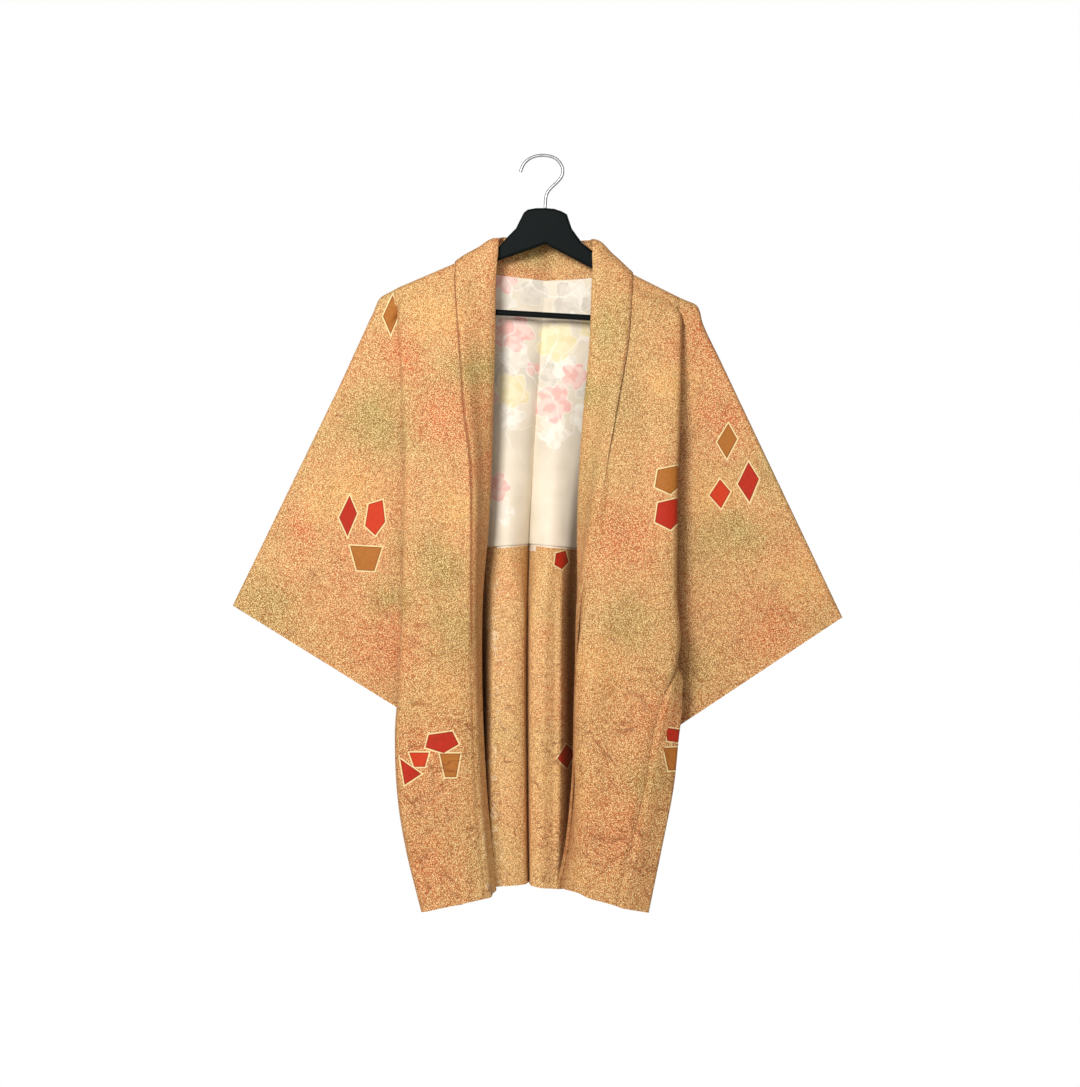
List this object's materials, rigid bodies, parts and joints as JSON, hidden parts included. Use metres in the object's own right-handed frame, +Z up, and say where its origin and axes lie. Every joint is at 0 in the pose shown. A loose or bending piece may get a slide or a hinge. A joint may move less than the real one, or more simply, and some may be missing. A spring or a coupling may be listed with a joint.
{
  "type": "haori jacket on hanger",
  "caption": "Silk haori jacket in tan speckled cloth with angular red and ochre patches and a cream lining, hung open on a black plastic hanger with a steel hook.",
  "frame": {"origin": "underside of the hanger hook's crown, the point that rests on a rail or a peg", "axes": "+X towards the right-hand sleeve as someone facing the front sees it, +Y from the jacket's front to its back, +Z up"},
  "size_m": [0.7748, 0.1101, 0.9602],
  "materials": {
    "haori_silk": "textured silk crepe with a faint sheen",
    "lining_silk": "smooth satin-like silk",
    "black_plastic": "satin moulded",
    "hook_steel": "drawn wire"
  },
  "bodies": {
    "root": {"body_left": "haori_silk", "body_right": "haori_silk", "collar_left": "haori_silk", "collar_right": "haori_silk", "sleeve_left": "haori_silk", "sleeve_right": "haori_silk", "gusset_left": "haori_silk", "gusset_right": "haori_silk", "lining_left": "lining_silk", "lining_right": "lining_silk", "hanger": "black_plastic", "hanger_hook": "hook_steel"}
  },
  "joints": []
}
